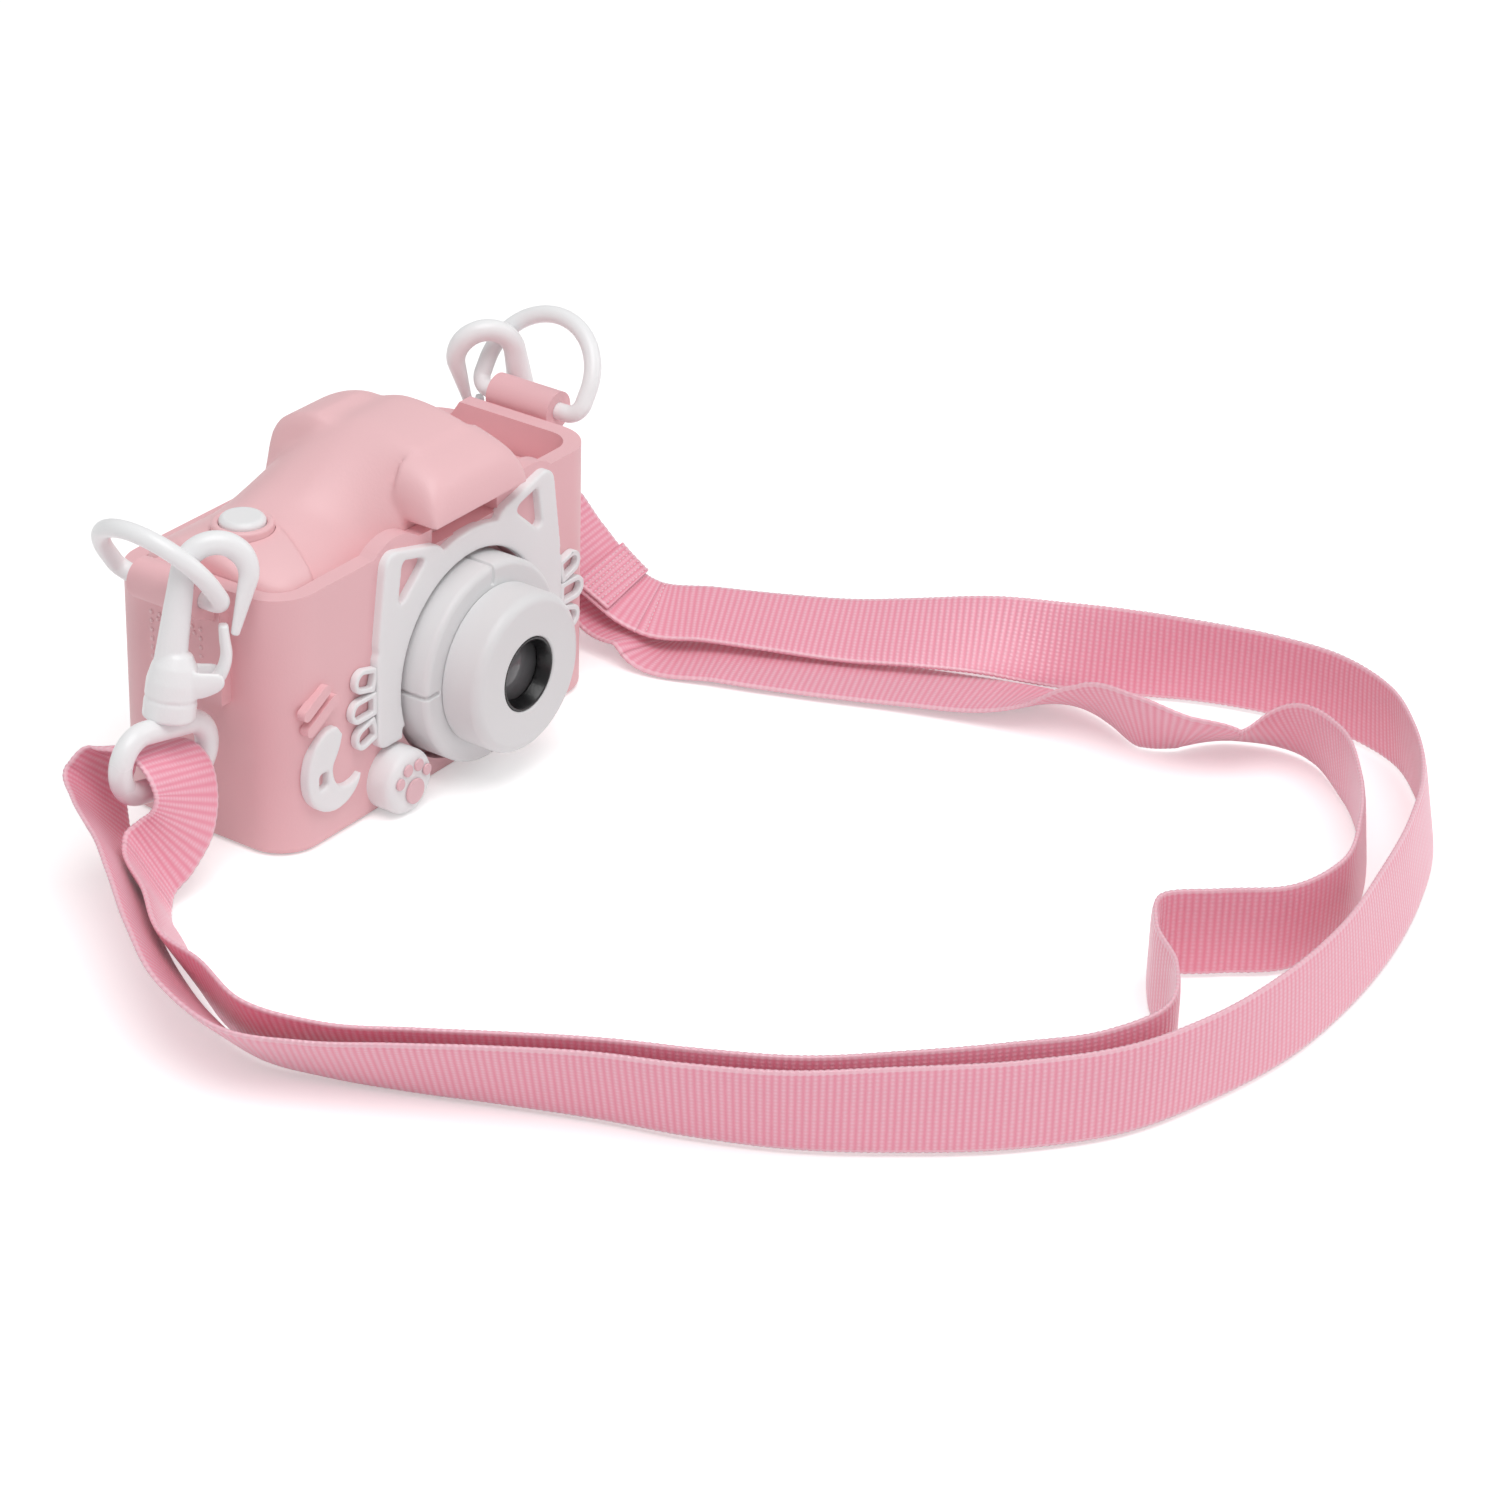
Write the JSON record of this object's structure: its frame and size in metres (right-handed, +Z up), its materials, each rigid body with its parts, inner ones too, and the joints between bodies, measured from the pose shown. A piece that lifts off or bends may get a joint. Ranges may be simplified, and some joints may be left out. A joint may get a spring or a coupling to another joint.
{
  "type": "toy camera",
  "caption": "Pink toy camera with a round white lens, seated in a soft cat-eared cover and hung from swivel clips on a flat neck strap",
  "frame": {"origin": "centre of the cover's flat bottom, on the table", "axes": "+Z up, -Y out of the lens, +X to the right seen from the front"},
  "size_m": [0.2025, 0.1935, 0.0599],
  "materials": {
    "cover_pink": "matte silicone",
    "relief_white": "matte silicone",
    "pad_pink": "matte silicone",
    "case_pink": "satin",
    "button_white": "soft gloss",
    "lens_white": "soft gloss",
    "lens_black": "gloss",
    "lens_glass": "clear",
    "screen_black": "gloss",
    "inner_black": "matte",
    "board_green": "solder mask",
    "foil_silver": "foil",
    "steel": "plated",
    "clip_white": "soft gloss",
    "strap_pink": "ribbed ribbon"
  },
  "bodies": {
    "camera": {"silicone_cover": "cover_pink", "cat_frame": "relief_white", "left_cheek_tuft": "relief_white", "right_cheek_tuft": "relief_white", "tail_relief": "relief_white", "paw_relief": "relief_white", "paw_pads": "pad_pink", "front_shell": "case_pink", "rear_shell": "case_pink", "top_shell": "case_pink", "shutter_collar": "case_pink", "shutter_switch": "inner_black", "switch_board": "board_green", "lens_base": "lens_white", "lens_barrel": "lens_white", "lens_cup": "lens_black", "lens_glass": "lens_glass", "lens_module": "lens_black", "sensor_board": "board_green", "main_board": "board_green", "battery": "foil_silver", "speaker": "inner_black", "display_panel": "inner_black", "screen_window": "screen_black", "rear_switches": "inner_black", "usb_socket": "steel", "card_socket": "steel", "case_screws": "steel", "strap_outer_run": "strap_pink", "strap_inner_run": "strap_pink"},
    "shutter_button": {"shutter_button": "button_white"},
    "button_up": {"button_up": "button_white"},
    "button_down": {"button_down": "button_white"},
    "button_left": {"button_left": "button_white"},
    "button_right": {"button_right": "button_white"},
    "button_ok": {"button_ok": "button_white"},
    "button_power": {"button_power": "button_white"},
    "left_clip": {"left_ring": "clip_white", "left_eye": "clip_white", "strap_left_loop": "strap_pink"},
    "left_hook": {"left_hook": "clip_white"},
    "left_gate": {"left_gate": "clip_white"},
    "right_clip": {"right_ring": "clip_white", "right_eye": "clip_white", "strap_right_loop": "strap_pink"},
    "right_hook": {"right_hook": "clip_white"},
    "right_gate": {"right_gate": "clip_white"}
  },
  "joints": [
    {"name": "shutter_press", "type": "slide", "parent": "camera", "child": "shutter_button", "axis": [0, 0, -1], "range_m": [0, 0.001], "stiffness_N_per_m": 600},
    {"name": "up_press", "type": "slide", "parent": "camera", "child": "button_up", "axis": [0, -1, 0], "range_m": [0, 0.0008], "stiffness_N_per_m": 600},
    {"name": "down_press", "type": "slide", "parent": "camera", "child": "button_down", "axis": [0, -1, 0], "range_m": [0, 0.0008], "stiffness_N_per_m": 600},
    {"name": "left_press", "type": "slide", "parent": "camera", "child": "button_left", "axis": [0, -1, 0], "range_m": [0, 0.0008], "stiffness_N_per_m": 600},
    {"name": "right_press", "type": "slide", "parent": "camera", "child": "button_right", "axis": [0, -1, 0], "range_m": [0, 0.0008], "stiffness_N_per_m": 600},
    {"name": "ok_press", "type": "slide", "parent": "camera", "child": "button_ok", "axis": [0, -1, 0], "range_m": [0, 0.0008], "stiffness_N_per_m": 600},
    {"name": "power_press", "type": "slide", "parent": "camera", "child": "button_power", "axis": [0, -1, 0], "range_m": [0, 0.0008], "stiffness_N_per_m": 600},
    {"name": "left_ring_swing", "type": "hinge", "parent": "camera", "child": "left_clip", "pos_m": [-0.0455, 0, 0.0455], "axis": [0, 1, 0], "range_deg": [-4, 20], "deforming": ["strap_left_loop"]},
    {"name": "left_hook_swivel", "type": "hinge", "parent": "left_clip", "child": "left_hook", "pos_m": [-0.0539, -0.0065, 0.0317], "axis": [0.2113, 0, 0.9774], "range_deg": [-8, 8]},
    {"name": "left_gate_hinge", "type": "hinge", "parent": "left_hook", "child": "left_gate", "pos_m": [-0.04852, -0.01086, 0.03442], "axis": [-0.6666, -0.7314, 0.1441], "range_deg": [0, 15], "stiffness_Nm_per_rad": 0.02},
    {"name": "right_ring_swing", "type": "hinge", "parent": "camera", "child": "right_clip", "pos_m": [0.0455, 0, 0.0455], "axis": [0, -1, 0], "range_deg": [-4, 20], "deforming": ["strap_right_loop"]},
    {"name": "right_hook_swivel", "type": "hinge", "parent": "right_clip", "child": "right_hook", "pos_m": [0.0539, 0.0065, 0.0317], "axis": [-0.2113, 0, 0.9774], "range_deg": [-8, 8]},
    {"name": "right_gate_hinge", "type": "hinge", "parent": "right_hook", "child": "right_gate", "pos_m": [0.04852, 0.01086, 0.03442], "axis": [0.6666, 0.7314, 0.1441], "range_deg": [0, 15], "stiffness_Nm_per_rad": 0.02}
  ]
}
